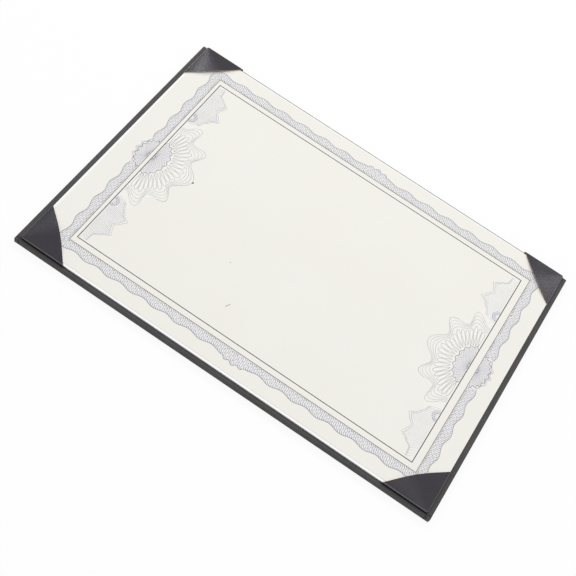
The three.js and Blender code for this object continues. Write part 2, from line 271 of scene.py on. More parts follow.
def beyond(tree, share, distance, start):
    """Keeps the share where the distance is past the start."""
    return compute(tree, "MULTIPLY", share, compute(tree, "GREATER_THAN", distance, start * MM))


def make_groove_shade_group():
    tree, source, target = new_group("groove beside the pockets", {}, ["Share"])
    near, far = Box("pocket_near_right"), Box("pocket_far_right")
    mouths_middle = (near.far + far.near) / 2
    parts = add_node(tree, "ShaderNodeSeparateXYZ", {0: source["Place"]})
    side = compute(tree, "ABSOLUTE", parts.outputs["X"])
    end = compute(tree, "ABSOLUTE", compute(tree, "SUBTRACT", parts.outputs["Y"], mouths_middle * MM))
    short_side = beyond(tree, near_line(tree, side, near.right), end, far.near - mouths_middle)
    long_side = beyond(tree, near_line(tree, parts.outputs["Y"], near.near), side, near.left)
    tree.links.new(compute(tree, "MAXIMUM", short_side, long_side), target["Share"])
    return tree


groove_shade_group = make_groove_shade_group()
print("made", groove_shade_group.name)

# %% [markdown]
# The wrap and the pockets are cut from the same black leatherette. On the flat board it looks a neutral
# charcoal, and on the pockets a little more violet and smoother, where it is drawn tight. So one function
# makes both materials from two colours and a few values. A pocket also gets a painted highlight along its
# folds and painted shade on its low wall: a ramp over the height gives both. The wrap gets painted shade in
# the groove beside the pockets.

# %% Material: leatherette
# The next three colours scale a pocket's colour by height: painted shade low on its wall, a painted highlight
# along its folds, and no change on top.
WALL_PAINTED_SHADE = (0.15, 0.15, 0.15, 1)
FOLD_PAINTED_HIGHLIGHT = (3.8, 4.3, 3.5, 1)
PLAIN = (1, 1, 1, 1)
WALL_SHADE_AND_HIGHLIGHT_RAMP = [(0.0, WALL_PAINTED_SHADE), (0.62, WALL_PAINTED_SHADE), (0.86, FOLD_PAINTED_HIGHLIGHT), (0.985, FOLD_PAINTED_HIGHLIGHT), (1.0, PLAIN)]
# The next colour is painted shade: the near-black that the wrap takes in the groove beside the pockets.
GROOVE_PAINTED_SHADE = (0.004, 0.003, 0.005, 1)
CREASE_STRENGTH = 0.35
CREASE_SHADE = 0.6
RUB_POLISH = 0.08
GRAIN_DEPTH = 0.12


def darker(colour, share):
    return tuple(channel * share for channel in colour[:3]) + (1.0,)


# Paints shade low on a pocket's wall and a highlight along its folds, by a ramp over the height.
def paint_shade_and_highlight(tree, place, colour, foot, top):
    parts = add_node(tree, "ShaderNodeSeparateXYZ", {0: place})
    height = change_range(tree, parts.outputs["Z"], (foot * MM, top * MM))
    ramp = add_node(tree, "ShaderNodeValToRGB", {"Fac": height})
    stops = ramp.color_ramp.elements
    while len(stops) < len(WALL_SHADE_AND_HIGHLIGHT_RAMP):
        stops.new(0.5)
    for stop, (position, value) in zip(stops, WALL_SHADE_AND_HIGHLIGHT_RAMP):
        stop.position = position
        stop.color = value
    values = {0: colour, 1: ramp.outputs["Color"]}
    return add_node(tree, "ShaderNodeVectorMath", values, operation="MULTIPLY").outputs[0]


def make_leatherette(name, dark, light, roughness, bump, specular, wall=None):
    material, tree, shader, place = new_material(name, Specular_IOR_Level=specular)
    grain = use_group(tree, grain_group, Place=place)
    rubbed = mix_colors(tree, grain.outputs["Rub"], dark, light)
    creased = compute(tree, "MULTIPLY", grain.outputs["Crease"], CREASE_STRENGTH)
    colour = mix_colors(tree, creased, rubbed, darker(dark, CREASE_SHADE))
    if wall:
        # painted shade on the low wall and painted highlight along the folds
        colour = paint_shade_and_highlight(tree, place, colour, *wall)
    else:
        # painted shade in the groove beside the pockets
        groove = use_group(tree, groove_shade_group, Place=place)
        colour = mix_colors(tree, groove.outputs["Share"], colour, GROOVE_PAINTED_SHADE)
    tree.links.new(colour, shader.inputs["Base Color"])
    matt = change_range(tree, grain.outputs["Rub"], new=(roughness, roughness - RUB_POLISH))
    tree.links.new(matt, shader.inputs["Roughness"])
    add_relief(tree, shader, grain.outputs["Height"], bump, GRAIN_DEPTH)
    return material


wrap_leatherette = make_leatherette(
    "leatherette on the board",
    (0.044, 0.043, 0.043, 1),
    (0.060, 0.058, 0.058, 1),
    roughness=0.58,
    bump=0.5,
    specular=0.42,
)
pocket_leatherette = make_leatherette(
    "leatherette of the pockets",
    (0.027, 0.022, 0.032, 1),
    (0.036, 0.030, 0.042, 1),
    roughness=0.36,
    bump=0.1,
    specular=0.34,
    wall=(POCKET_FOOT, FLAP_TOP),
)
print("leatherettes:", wrap_leatherette.name, "and", pocket_leatherette.name)

# %% [markdown]
# The board is hidden greyboard, the liner is a smooth white card, and the sheet is cream certificate paper.
# All three use the paper fibre group, with their own colours and strengths.

# %% Materials: board, card and paper
FIBRE_RANGE = (0.3, 0.7)
FIBRE_SHADE = 0.7
FIBRE_DEPTH = 0.05


def make_paper(name, low, high, fibre_strength, bump):
    material, tree, shader, place = new_material(name, Roughness=0.85, Specular_IOR_Level=0.25)
    fibre = use_group(tree, fibre_group, Place=place)
    clouded = mix_colors(tree, fibre.outputs["Cloud"], low, high)
    tone = change_range(tree, fibre.outputs["Fibre"], FIBRE_RANGE, (fibre_strength, 0.0))
    colour = mix_colors(tree, tone, clouded, darker(low, FIBRE_SHADE))
    tree.links.new(colour, shader.inputs["Base Color"])
    add_relief(tree, shader, fibre.outputs["Fibre"], bump, FIBRE_DEPTH)
    return material


greyboard = make_paper("greyboard", (0.25, 0.23, 0.19, 1), (0.31, 0.28, 0.23, 1), 0.5, 0.6)
liner_card = make_paper("white liner card", (0.92, 0.92, 0.92, 1), (0.95, 0.95, 0.95, 1), 0.04, 0.15)
sheet_paper = make_paper("cream paper", (0.83, 0.811, 0.758, 1), (0.86, 0.846, 0.798, 1), 0.05, 0.2)
print("papers:", greyboard.name, liner_card.name, sheet_paper.name)

# %% [markdown]
# Ink on uncoated paper is slightly uneven, denser in one place and starved in another. One function makes
# every ink from its colour and the colour that it takes where it is starved.

# %% Materials: inks
INK_PATCHES_PER_METRE = 420.0


def make_ink(name, full, starved):
    material, tree, shader, place = new_material(name, Roughness=0.8, Specular_IOR_Level=0.2)
    fibre = use_group(tree, fibre_group, Place=place, Fibres_per_metre=INK_PATCHES_PER_METRE)
    uneven = change_range(tree, fibre.outputs["Fibre"], FIBRE_RANGE)
    tree.links.new(mix_colors(tree, uneven, full, starved), shader.inputs["Base Color"])
    return material


frame_ink = make_ink("ink of the frame lines", (0.032, 0.028, 0.028, 1), (0.060, 0.054, 0.054, 1))
ribbon_tint = make_ink("tint of the ribbon", (0.83, 0.83, 0.84, 1), (0.86, 0.85, 0.85, 1))
fan_tint = make_ink("tint of the fans", (0.835, 0.825, 0.79, 1), (0.86, 0.85, 0.81, 1))
disc_tint = make_ink("tint of the half rosettes", (0.74, 0.73, 0.74, 1), (0.80, 0.79, 0.79, 1))
net_ink = make_ink("ink of the rosette net", (0.40, 0.39, 0.43, 1), (0.54, 0.53, 0.56, 1))
fine_ink = make_ink("ink of the fine lines", (0.20, 0.20, 0.23, 1), (0.32, 0.32, 0.35, 1))
pale_ink = make_ink("ink of the pale strokes", (0.34, 0.34, 0.37, 1), (0.46, 0.46, 0.48, 1))
edge_ink = make_ink("ink of the edge lines", (0.16, 0.16, 0.19, 1), (0.26, 0.26, 0.29, 1))
bare_paper = make_ink("bare paper in the print", (0.86, 0.85, 0.81, 1), (0.88, 0.87, 0.83, 1))
flank_tints = {
    "left": make_ink("tint of the left lace", (0.79, 0.785, 0.775, 1), (0.82, 0.815, 0.795, 1)),
    "right": make_ink("tint of the right lace", (0.825, 0.82, 0.79, 1), (0.85, 0.84, 0.81, 1)),
}
flank_ink = make_ink("ink of the flanking lace", (0.46, 0.46, 0.50, 1), (0.60, 0.60, 0.62, 1))
bud_tint = make_ink("tint of the buds", (0.68, 0.69, 0.75, 1), (0.76, 0.77, 0.81, 1))
loop_ink = make_ink("ink of the fan loops", (0.34, 0.34, 0.34, 1), (0.52, 0.52, 0.51, 1))
fan_ink = make_ink("ink of the fan lines", (0.40, 0.40, 0.39, 1), (0.60, 0.60, 0.58, 1))
print("inks are mixed")

# %% [markdown]
# The CAD solids that stay in view, and those that only fill the inside, take a finish in their material slot.
# Their meshes stay untouched. The four pockets aren't in the table, because thin folded pieces replace them.

# %% Finishes on the CAD nodes
NODE_FINISHES = {
    "cover_board": greyboard,
    "cover_wrap": wrap_leatherette,
    "liner_panel": liner_card,
    "certificate_sheet": sheet_paper,
    "print_inner_line": frame_ink,
    "print_outer_line": frame_ink,
    "print_ribbon": ribbon_tint,
    "print_disc_left": disc_tint,
    "print_disc_right": disc_tint,
    "print_outer_disc_left": disc_tint,
    "print_outer_disc_right": disc_tint,
    "print_fan_left": fan_tint,
    "print_fan_right": fan_tint,
}
for node_name, finish in NODE_FINISHES.items():
    node_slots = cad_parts[node_name].data.materials
    node_slots.clear()
    node_slots.append(finish)
print("finished", len(NODE_FINISHES), "CAD nodes")

# %% [markdown]
# Card and paper are cut by hand, so they come out a little narrow. On the long sides a strip of the white
# card shows beside the sheet, and past the card the dark rim shows as a thin line. The finished meshes of the
# card and the sheet are copied, and only the long edges of the copies are drawn in.

# %% Draw in the long edges of the card and the sheet
DRAWN_IN = {"liner_panel": ("liner_card", 0.0, 1.05), "certificate_sheet": ("sheet", 0.8, 2.05)}
AT_EDGE = 0.01


def draw_in(name, slot, near, far):
    """Makes the piece that stands for a flat node, its near and far edges drawn in by so many millimetres."""
    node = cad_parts[name]
    mesh = node.data.copy()
    mesh.transform(node.matrix_world)
    box = Box(name)
    for vertex in mesh.vertices:
        if abs(vertex.co.y / MM - box.near) < AT_EDGE:
            vertex.co.y += near * MM
        elif abs(vertex.co.y / MM - box.far) < AT_EDGE:
            vertex.co.y -= far * MM
    piece = add_object("cut_" + name, mesh)
    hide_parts(name)
    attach(piece, "root")
    print(piece.name, "drawn in", near, "and", far, "mm")


for node_name, slot_and_edges in DRAWN_IN.items():
    draw_in(node_name, *slot_and_edges)

# %% [markdown]
# Each pocket is a piece of leatherette laid over the sheet's corner and folded down round two edges of the
# liner card. A stiff block would look wrong, so it is made as thin material: a grid is drawn into the shape
# of the flap with its rounded folds, its edge is extruded down as the sides and in under the card as two
# tabs, and Solidify gives it its thickness, with a tan core at the cut mouth.

# %% The pocket's sizes
POCKET_LEG = 32.0
FLAP_CORNER = 1.4
FLAP_THICKNESS = 0.45
MOUTH_BOW = 1.2
MOUTH_LIFT = 1.25
LIFT_POWER = 1.2
DRAPE_DEPTH = 0.07
DRAPE_LENGTH = 9.0
FOLD_ROUND = 0.6


def deselect_all():
    bpy.ops.object.select_all(action="DESELECT")


def make_active(piece):
    deselect_all()
    piece.select_set(True)
    bpy.context.view_layer.objects.active = piece


def clean_active(merge):
    """Merges the active piece's points nearer than so many millimetres, and turns its faces outward."""
    bpy.ops.object.mode_set(mode="EDIT")
    bpy.ops.mesh.select_all(action="SELECT")
    bpy.ops.mesh.remove_doubles(threshold=merge * MM)
    bpy.ops.mesh.normals_make_consistent(inside=False)
    bpy.ops.object.mode_set(mode="OBJECT")


def leg_point(down):
    """A place on the first leg's fold, down from the rounded corner to the mouth."""
    along = POCKET_LEG * down
    if along >= FLAP_CORNER:
        return Vector((along, 0, 0))
    angle = math.radians(225 + 45 * along / FLAP_CORNER)
    return Vector((1 + math.cos(angle), 1 + math.sin(angle), 0)) * FLAP_CORNER


def fold_drop(x, y):
    """How far the flap has turned down at a place beside a fold, round a quarter of a circle."""
    to_fold = min(x, y)
    if x < FLAP_CORNER and y < FLAP_CORNER:
        to_fold = FLAP_CORNER - math.hypot(FLAP_CORNER - x, FLAP_CORNER - y)
    run = FOLD_ROUND - min(max(to_fold, 0.0), FOLD_ROUND)
    return FOLD_ROUND - math.sqrt(FOLD_ROUND**2 - run**2)


def flap_point(across, down):
    """A place on the flap: across from one fold to the other, down from the corner to the mouth."""
    first = leg_point(down)
    second = Vector((first.y, first.x, 0))
    place = first.lerp(second, across)
    bump = math.sin(math.pi * across)
    bow = MOUTH_BOW * bump * down / math.sqrt(2)
    drop = fold_drop(place.x, place.y)
    place += Vector((bow, bow, 0))
    drape = DRAPE_DEPTH * bump * down * noise.noise(place / DRAPE_LENGTH)
    place.z = FLAP_TOP + MOUTH_LIFT * bump**2 * down**LIFT_POWER + drape - drop
    return place


print("flap top at", round(FLAP_TOP, 2), "mm, foot at", round(POCKET_FOOT, 2), "mm")

# %% [markdown]
# The flap is smooth on top and curls at its folds, so it needs most points there. A plain grid has them
# evenly spread: its columns are gathered at the two folds and its rows at the corner, and each point is then
# put in its place on the flap. The points that fall together at the corner are merged.

# %% Draw the flap from a grid
FLAP_COLUMNS = 36
FLAP_ROWS = 24
ROW_POWER = 1.5
GRID_MERGE = 0.01


def pocket_blank():
    deselect_all()
    bpy.ops.mesh.primitive_grid_add(
        x_subdivisions=FLAP_COLUMNS, y_subdivisions=FLAP_ROWS, size=1, location=(0, 0, 0)
    )
    blank = bpy.context.object
    for vertex in blank.data.vertices:
        across = 0.5 + 0.5 * math.sin(math.pi * vertex.co.x)
        down = max(vertex.co.y + 0.5, 0) ** ROW_POWER
        vertex.co = flap_point(across, down) * MM
    clean_active(GRID_MERGE)
    return blank


flap = pocket_blank()
print("flap grid has", len(flap.data.vertices), "points")

# %% [markdown]
# The leatherette goes on past the folds: down the card's edges, and in under it as two tabs that meet on the
# diagonal. The flap's edge is extruded straight down, and the foot of each side is extruded inwards, because
# that keeps it one sheet of material without a seam.

# %% Fold the sides down and the tabs under
TAB_REACH = 7.0
TAB_GAP = 0.25
MOUTH_SHARE = 0.995
NEARLY = 0.001
LOW_DOWN = 0.1
FOOT_ROUGHNESS = 0.2


def select_open_edges(piece, test):
    """Selects the open edges whose pair of ends passes the test, in edit mode. Ends are in millimetres."""
    bpy.ops.mesh.select_mode(type="EDGE")
    bpy.ops.mesh.select_all(action="DESELECT")
    edit = bmesh.from_edit_mesh(piece.data)
    for edge in edit.edges:
        ends = [vertex.co / MM for vertex in edge.verts]
        edge.select = edge.is_boundary and test(ends)
    bmesh.update_edit_mesh(piece.data)


def off_mouth(ends):
    return not all(end.x + end.y > POCKET_LEG * MOUTH_SHARE for end in ends)


def at_foot(end):
    return end.z < POCKET_FOOT + LOW_DOWN


def extrude_selected(x, y, z):
    bpy.ops.mesh.extrude_edges_move(TRANSFORM_OT_translate={"value": (x * MM, y * MM, z * MM)})


def add_tab(piece, axis):
    """Extrudes the foot of the side that runs along an axis inwards, under the card."""
    other = 1 - axis

    def on_side(end):
        return at_foot(end) and abs(end[other]) < NEARLY and end[axis] > FLAP_CORNER

    select_open_edges(piece, lambda ends: all(on_side(end) for end in ends))
    extrude_selected(TAB_REACH * axis, TAB_REACH * other, 0)


def fold_pocket(piece):
    bpy.ops.object.mode_set(mode="EDIT")
    select_open_edges(piece, off_mouth)
    extrude_selected(0, 0, POCKET_FOOT - FLAP_TOP + FOLD_ROUND)
    for axis in (0, 1):
        add_tab(piece, axis)
    bpy.ops.object.mode_set(mode="OBJECT")


def mitre_tabs(piece):
    """Draws each tab's inner edge in at both ends, so that the two tabs meet on the diagonal."""
    start = TAB_REACH + TAB_GAP
    for axis in (0, 1):
        other = 1 - axis
        for vertex in piece.data.vertices:
            end = vertex.co / MM
            if at_foot(end) and abs(end[other] - TAB_REACH) < NEARLY:
                share = (end[axis] - FLAP_CORNER) / (POCKET_LEG - FLAP_CORNER)
                vertex.co[axis] = (start + share * (POCKET_LEG - start - TAB_REACH)) * MM


def level_foot(piece):
    for vertex in piece.data.vertices:
        if vertex.co.z < (POCKET_FOOT + FOOT_ROUGHNESS) * MM:
            vertex.co.z = POCKET_FOOT * MM


fold_pocket(flap)
level_foot(flap)
mitre_tabs(flap)
print("folded flap has", len(flap.data.vertices), "points before its thickness")

# %% [markdown]
# Cut leatherette shows its tan backing. Solidify gives the folded sheet its thickness, and it can put a
# second material on the rim that it makes, so the cut mouth gets the backing's colour without an extra piece.

# %% Give the pocket its thickness
BACKING_FIBRES_PER_METRE = 2500.0
WALL_MERGE = 0.005
SMOOTH_DEGREES = 40


def make_cut_edge():
    material, tree, shader, place = new_material("cut edge of the leatherette", Roughness=0.85)
    fibre = use_group(tree, fibre_group, Place=place, Fibres_per_metre=BACKING_FIBRES_PER_METRE)
    tan = mix_colors(tree, fibre.outputs["Fibre"], (0.34, 0.24, 0.16, 1), (0.60, 0.47, 0.33, 1))
    tree.links.new(tan, shader.inputs["Base Color"])
    return material


cut_edge = make_cut_edge()


def finish_pocket(piece):
    make_active(piece)
    piece.data.materials.append(pocket_leatherette)
    piece.data.materials.append(cut_edge)
    clean_active(WALL_MERGE)
    wall = piece.modifiers.new("thickness", "SOLIDIFY")
    wall.thickness = FLAP_THICKNESS * MM
    wall.offset = -1
    wall.use_even_offset = True
    wall.material_offset_rim = 1
    bpy.ops.object.modifier_apply(modifier=wall.name)
    bpy.ops.object.shade_smooth_by_angle(angle=math.radians(SMOOTH_DEGREES))


finish_pocket(flap)
print("pocket blank:", len(flap.data.polygons), "faces")

# %% [markdown]
# The four pockets have one form, turned by a quarter each, but they were cut by hand, so their legs differ by
# a few millimetres. One is modelled and copied, each copy with its own mesh, stretched to the legs of the CAD
# pocket that it stands for, turned, and set on its corner. The table gives each its quarter turns, and the
# small corrections of its two legs that were read off the photo.

# %% Set a pocket on each corner
POCKETS = {
    "pocket_near_left": (0, -1.4, -1.7),
    "pocket_near_right": (1, -0.8, -0.7),
    "pocket_far_right": (2, -0.9, -0.4),
    "pocket_far_left": (3, -0.3, 1.1),
}


def set_pocket(name, quarter_turns, trim_x, trim_y):
    piece = add_object(name.replace("pocket", "folded_pocket"), flap.data.copy())
    box = Box(name)
    legs = (box.right - box.left + trim_x, box.far - box.near + trim_y)
    if quarter_turns % 2:
        legs = legs[::-1]
    x = box.left if name.endswith("left") else box.right
    y = box.near if "near" in name else box.far
    cut = Matrix.Diagonal((legs[0] / POCKET_LEG, legs[1] / POCKET_LEG, 1, 1))
    turn = Matrix.Rotation(quarter_turns * math.pi / 2, 4, "Z")
    piece.data.transform(Matrix.Translation((x * MM, y * MM, 0)) @ turn @ cut)
    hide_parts(name)
    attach(piece, "root")
    print(piece.name, "legs", round(legs[0], 1), "and", round(legs[1], 1), "mm")


for pocket_name, pocket_values in POCKETS.items():
    set_pocket(pocket_name, *pocket_values)
bpy.data.objects.remove(flap)

# %% [markdown]
# The printed border is engraving: hair-thin lines that cross and weave. A picture of it would blur when seen
# close, so the lines are real ink. Each family of lines is a curve object with many splines and a flat oblong
# section, made a mesh. Its foot is in the paper and its top is just above the tint. Small solid shapes are
# filled flat curves with a little depth.

# %% Helpers: lines and plates of ink
INK_STEP = 0.01
INK_FOOT = sheet.top - 2 * INK_STEP
INK_TOP = inner_line.top + 2 * INK_STEP
PLATE_TOP = inner_line.top + INK_STEP
INK_MERGE = 0.0001


def add_spline(curve, points, closed, level=0.0):
    spline = curve.splines.new("POLY")
    spline.points.add(len(points) - 1)
    for place, (x, y) in zip(spline.points, points):
        place.co = (x * MM, y * MM, level * MM, 1)
    spline.use_cyclic_u = closed


def line_section(width):
    """The flat oblong that is drawn along a line: as wide as the line, and as deep as the ink."""
    section = bpy.data.curves.new("line section", "CURVE")
    section.dimensions = "2D"
    section.fill_mode = "NONE"
    half = width / 2
    depth = (INK_TOP - INK_FOOT) / 2
    add_spline(section, [(-half, -depth), (half, -depth), (half, depth), (-half, depth)], True)
    return add_object("line section", section)


def curve_to_ink(name, curve, ink):
    piece = add_object(name, curve)
    make_active(piece)
    bpy.ops.object.convert(target="MESH")
    clean_active(INK_MERGE)
    piece.data.materials.clear()
    piece.data.materials.append(ink)
    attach(piece, "root")
    triangles = sum(len(face.vertices) - 2 for face in piece.data.polygons)
    print(name, "has", len(curve.splines), "shapes and", triangles, "triangles")
    return piece


def ink_lines(name, paths, width, ink):
    section = line_section(width)
    curve = bpy.data.curves.new(name, "CURVE")
    curve.dimensions = "3D"
    curve.twist_mode = "Z_UP"
    curve.bevel_mode = "OBJECT"
    curve.bevel_object = section
    curve.use_fill_caps = True
    for points, closed in paths:
        add_spline(curve, points, closed, (INK_TOP + INK_FOOT) / 2)
    curve_to_ink(name, curve, ink)
    bpy.data.objects.remove(section)


def ink_plates(name, outlines, ink):
    curve = bpy.data.curves.new(name, "CURVE")
    curve.dimensions = "2D"
    curve.fill_mode = "BOTH"
    curve.extrude = (PLATE_TOP - INK_FOOT) / 2 * MM
    for points in outlines:
        add_spline(curve, points, True)
    piece = curve_to_ink(name, curve, ink)
    piece.data.transform(Matrix.Translation((0, 0, (PLATE_TOP + INK_FOOT) / 2 * MM)))


print("ink reaches", round(INK_TOP - sheet.top, 3), "mm above the sheet")

# %% [markdown]
# The ribbon runs round the outer frame line. A place on it has a run, the distance round it, and a share,
# from its straight inner edge at 0 to its scalloped outer edge at 1. Its reach follows the CAD ribbon:
# scallops all round, a lobed crest in the middle of each side, and a quarter turn at each corner.

# %% Places on the ribbon
RIBBON_WIDTH = 6.2
SCALLOP_DEPTH = 0.9
SCALLOP_LENGTH = 17.0
CREST_LENGTH = 29.0
CREST_HEIGHT = 9.0
FRINGE_HEIGHT = 9.8
CREST_LOBE_DEPTH = 0.9
CREST_LOBES = 5
CORNER_RUN = 6.5
PRINT_GAP = 0.3
DISC_SIZES = {"inner": (9.8, 15.5), "outer": (8.0, 13.0)}


def ribbon_reach(along, length, crest_height):
    scallops = round(length / SCALLOP_LENGTH)
    wave = RIBBON_WIDTH + SCALLOP_DEPTH * math.cos(2 * math.pi * scallops * along / length)
    across = (along - length / 2) / (CREST_LENGTH / 2)
    if abs(across) >= 1:
        return wave
    dome = crest_height * math.sqrt(1 - across**2)
    lobe = CREST_LOBE_DEPTH * math.cos(math.pi * across * CREST_LOBES) * (1 - across**2)
    return max(wave, dome + lobe)


class RibbonSide:
    def __init__(self, start, end, run, crest_height):
        self.start = Vector(start)
        self.end = Vector(end)
        self.run = run
        self.crest_height = crest_height
        self.length = (self.end - self.start).length
        self.way = (self.end - self.start) / self.length
        self.out = Vector((self.way.y, -self.way.x))

    def place(self, run, share):
        along = run - self.run
        if along <= self.length:
            reach = ribbon_reach(along, self.length, self.crest_height)
            return self.start + self.way * along + self.out * (reach * share)
        turned = self.out.copy()
        turned.rotate(Matrix.Rotation(math.pi / 2 * (along - self.length) / CORNER_RUN, 2))
        return self.end + turned * (ribbon_reach(0, self.length, self.crest_height) * share)


def ribbon_sides():
    box = outer_line
    corners = [(box.left, box.near), (box.right, box.near), (box.right, box.far), (box.left, box.far)]
    sides = []
    run = 0.0
    for i, start in enumerate(corners):
        height = FRINGE_HEIGHT if i % 2 else CREST_HEIGHT
        sides.append(RibbonSide(start, corners[(i + 1) % 4], run, height))
        run += sides[-1].length + CORNER_RUN
    return sides, run


sides, ribbon_run = ribbon_sides()


def side_at(run):
    """The side of the ribbon that a run lies on."""
    return [side for side in sides if side.run <= run % ribbon_run][-1]


def ribbon_place(run, share):
    place = side_at(run).place(run % ribbon_run, share)
    return (place.x, place.y)


print("ribbon is", round(ribbon_run), "mm round")

# %% [markdown]
# The engraver's weave is families of lines that repeat round the border: long waves along the ribbon, short
# leaning strokes across it, a firm outer edge, and bare diamonds where the paper shows through. Each family
# is one object, drawn from the same places. The strokes of the short sides are paler and broader, and beside
# the outer half rosettes the ribbon thins out to a fringe.

# %% Weave the ribbon
WAVE_COUNT = 5
WAVE_LENGTH = 16.9
WAVE_SWING = 0.44
STROKE_PITCH = 1.32
STROKE_LEAN = 1.5
STROKE_SWING = 0.3
STROKE_STEPS = 5
STROKE_FOOT = 0.03
CORNER_FOOT = 0.35
STROKE_HEAD = 0.98
LINE_STEP = 0.5
WAVE_WIDTH = 0.12
STROKE_WIDTHS = {"long": 0.22, "short": 0.28}
EDGE_WIDTH = 0.26
FRINGE_SHARES = (0.9, 1.0)
DIAMOND_LENGTH = 0.75
DIAMOND_WIDTH = 0.62
DIAMOND_SHARES = (0.13, 0.17)
DIAMOND_CYCLE = 13
DIAMONDS_TOGETHER = 7


def ribbon_lines(share_at, fringed):
    """Lines along the ribbon, whose share is a function of the run: those in the fringes, or the others."""
    steps = round(ribbon_run / LINE_STEP)
    parts = []
    kept = False
    for i in range(steps + 1):
        run = ribbon_run * i / steps
        if in_fringe(run) == fringed:
            if not kept:
                parts.append(([], False))
            parts[-1][0].append(ribbon_place(run, share_at(run)))
        kept = in_fringe(run) == fringed
    return parts


def wave_lines(phase):
    cycles = round(ribbon_run / WAVE_LENGTH)
    return ribbon_lines(
        lambda run: 0.5 + WAVE_SWING * math.sin(2 * math.pi * (cycles * run / ribbon_run + phase)), False
    )


def on_long_side(run):
    return side_at(run).crest_height == CREST_HEIGHT


def in_fringe(run):
    """Whether a run lies beside an outer half rosette, where the ribbon is only its fringe."""
    side = side_at(run)
    from_middle = run % ribbon_run - side.run - side.length / 2
    return not on_long_side(run) and abs(from_middle) < DISC_SIZES["outer"][1]


def stroke_line(start):
    """One stroke across the ribbon, leaning along it, with a slight swing. It is shorter at a corner."""
    side = side_at(start)
    foot = STROKE_FOOT if start % ribbon_run - side.run <= side.length else CORNER_FOOT
    points = []
    for i in range(STROKE_STEPS + 1):
        share = i / STROKE_STEPS
        shift = STROKE_LEAN * (share - 0.5) + STROKE_SWING * math.sin(2 * math.pi * share)
        points.append(ribbon_place(start + shift, foot + (STROKE_HEAD - foot) * share))
    return points, False


def diamond_line(start):
    half = DIAMOND_LENGTH / 2
    first, second = DIAMOND_SHARES
    return [ribbon_place(start - half, first), ribbon_place(start + half, second)], False


stroke_count = round(ribbon_run / STROKE_PITCH)
stroke_starts = [ribbon_run * i / stroke_count for i in range(stroke_count)]
woven_starts = [start for start in stroke_starts if not in_fringe(start)]
waves = [line for i in range(WAVE_COUNT) for line in wave_lines(i / WAVE_COUNT)]
fringes = [line for share in FRINGE_SHARES for line in ribbon_lines(lambda run: share, True)]
ink_lines("ribbon_waves", waves, WAVE_WIDTH, net_ink)
fine = [stroke_line(start) for start in woven_starts if on_long_side(start)]
pale = [stroke_line(start) for start in woven_starts if not on_long_side(start)]
ink_lines("ribbon_strokes_long", fine, STROKE_WIDTHS["long"], fine_ink)
ink_lines("ribbon_strokes_short", pale, STROKE_WIDTHS["short"], pale_ink)
ink_lines("ribbon_edge", ribbon_lines(lambda run: 1.0, False), EDGE_WIDTH, edge_ink)
ink_lines("ribbon_fringe", fringes, EDGE_WIDTH, loop_ink)
diamond_starts = [start for i, start in enumerate(woven_starts) if i % DIAMOND_CYCLE < DIAMONDS_TOGETHER]
diamonds = [diamond_line(start + STROKE_PITCH / 2) for start in diamond_starts]
ink_lines("ribbon_diamonds", diamonds, DIAMOND_WIDTH, bare_paper)

# %% [markdown]
# Inside the frame, each short side has a half rosette and a fan that spreads from it. The fan is the work of
# a rose engine: its lobes repeat round a centre on the frame line, squeezed across. u runs inwards from the
# frame line and v runs along it, both from the middle of the side.

# %% Places in a fan
FAN_SQUEEZE = 0.71
LOBE_TURN = 32.7
LOBE_FALL = 0.68
LOBE_POWER = 1.2
INNER_LINE_WIDTH = 0.5
SIDES = {"left": -1, "right": 1}


def fan_place(side, u, v):
    line = inner_line.left if side < 0 else inner_line.right
    start = INNER_LINE_WIDTH + PRINT_GAP
    return (line - side * (start + u), inner_line.middle_y + v)


def polar(side, radius, degrees):
    angle = math.radians(degrees)
    return fan_place(side, FAN_SQUEEZE * radius * math.cos(angle), radius * math.sin(angle))


def lobe_height(degrees):
    """1 at the tip of a lobe and 0 in the hollow, which lies nearer to the next tip."""
    phase = abs(degrees) / LOBE_TURN % 1.0
    if phase < LOBE_FALL:
        share = phase / LOBE_FALL
    else:
        share = (1 - phase) / (1 - LOBE_FALL)
    return (0.5 + 0.5 * math.cos(math.pi * share)) ** LOBE_POWER


for side_name, side in SIDES.items():
    print("the", side_name, "fan spreads from", [round(value, 1) for value in polar(side, 0, 0)], "mm")

# %% [markdown]
# A fan is a ring of slender petals, bare paper with a printed outline, inside four lobed contours that lie
# closer together in the hollows than at the tips. Each contour is given by the radius of its tips and that of
# its hollows. The petals sway as they go out, as a rose engine draws them.

# %% Draw the fans
CONTOURS = [(44.0, 33.6), (40.9, 32.6), (37.8, 31.5), (34.8, 30.2)]
CONTOUR_STEPS = 160
CONTOUR_TURN = 89
CONTOUR_WIDTH = 0.24
PETAL_TURN = 7.9
PETAL_COUNT = 22
PETAL_FOOT = 16.3
PETAL_HEAD = 29.0
PETAL_STRETCH = 3.0
PETAL_SHARE = 0.4
PETAL_SKEW = 0.4
PETAL_STEPS = 22
PETAL_WIDTH = 0.28


def contour_line(side, tip, hollow):
    points = []
    for i in range(CONTOUR_STEPS + 1):
        degrees = -CONTOUR_TURN + 2 * CONTOUR_TURN * i / CONTOUR_STEPS
        radius = hollow + (tip - hollow) * lobe_height(degrees)
        points.append(polar(side, radius, degrees))
    return points, False


def petal_outline(side, degrees):
    head = PETAL_HEAD + PETAL_STRETCH * lobe_height(degrees)
    points = []
    for i in range(PETAL_STEPS):
        angle = 2 * math.pi * i / PETAL_STEPS
        radius = (PETAL_FOOT + head) / 2 - (head - PETAL_FOOT) / 2 * math.cos(angle)
        sway = PETAL_TURN * PETAL_SHARE * math.sin(angle - PETAL_SKEW * math.sin(angle))
        points.append(polar(side, radius, degrees + sway))
    return points


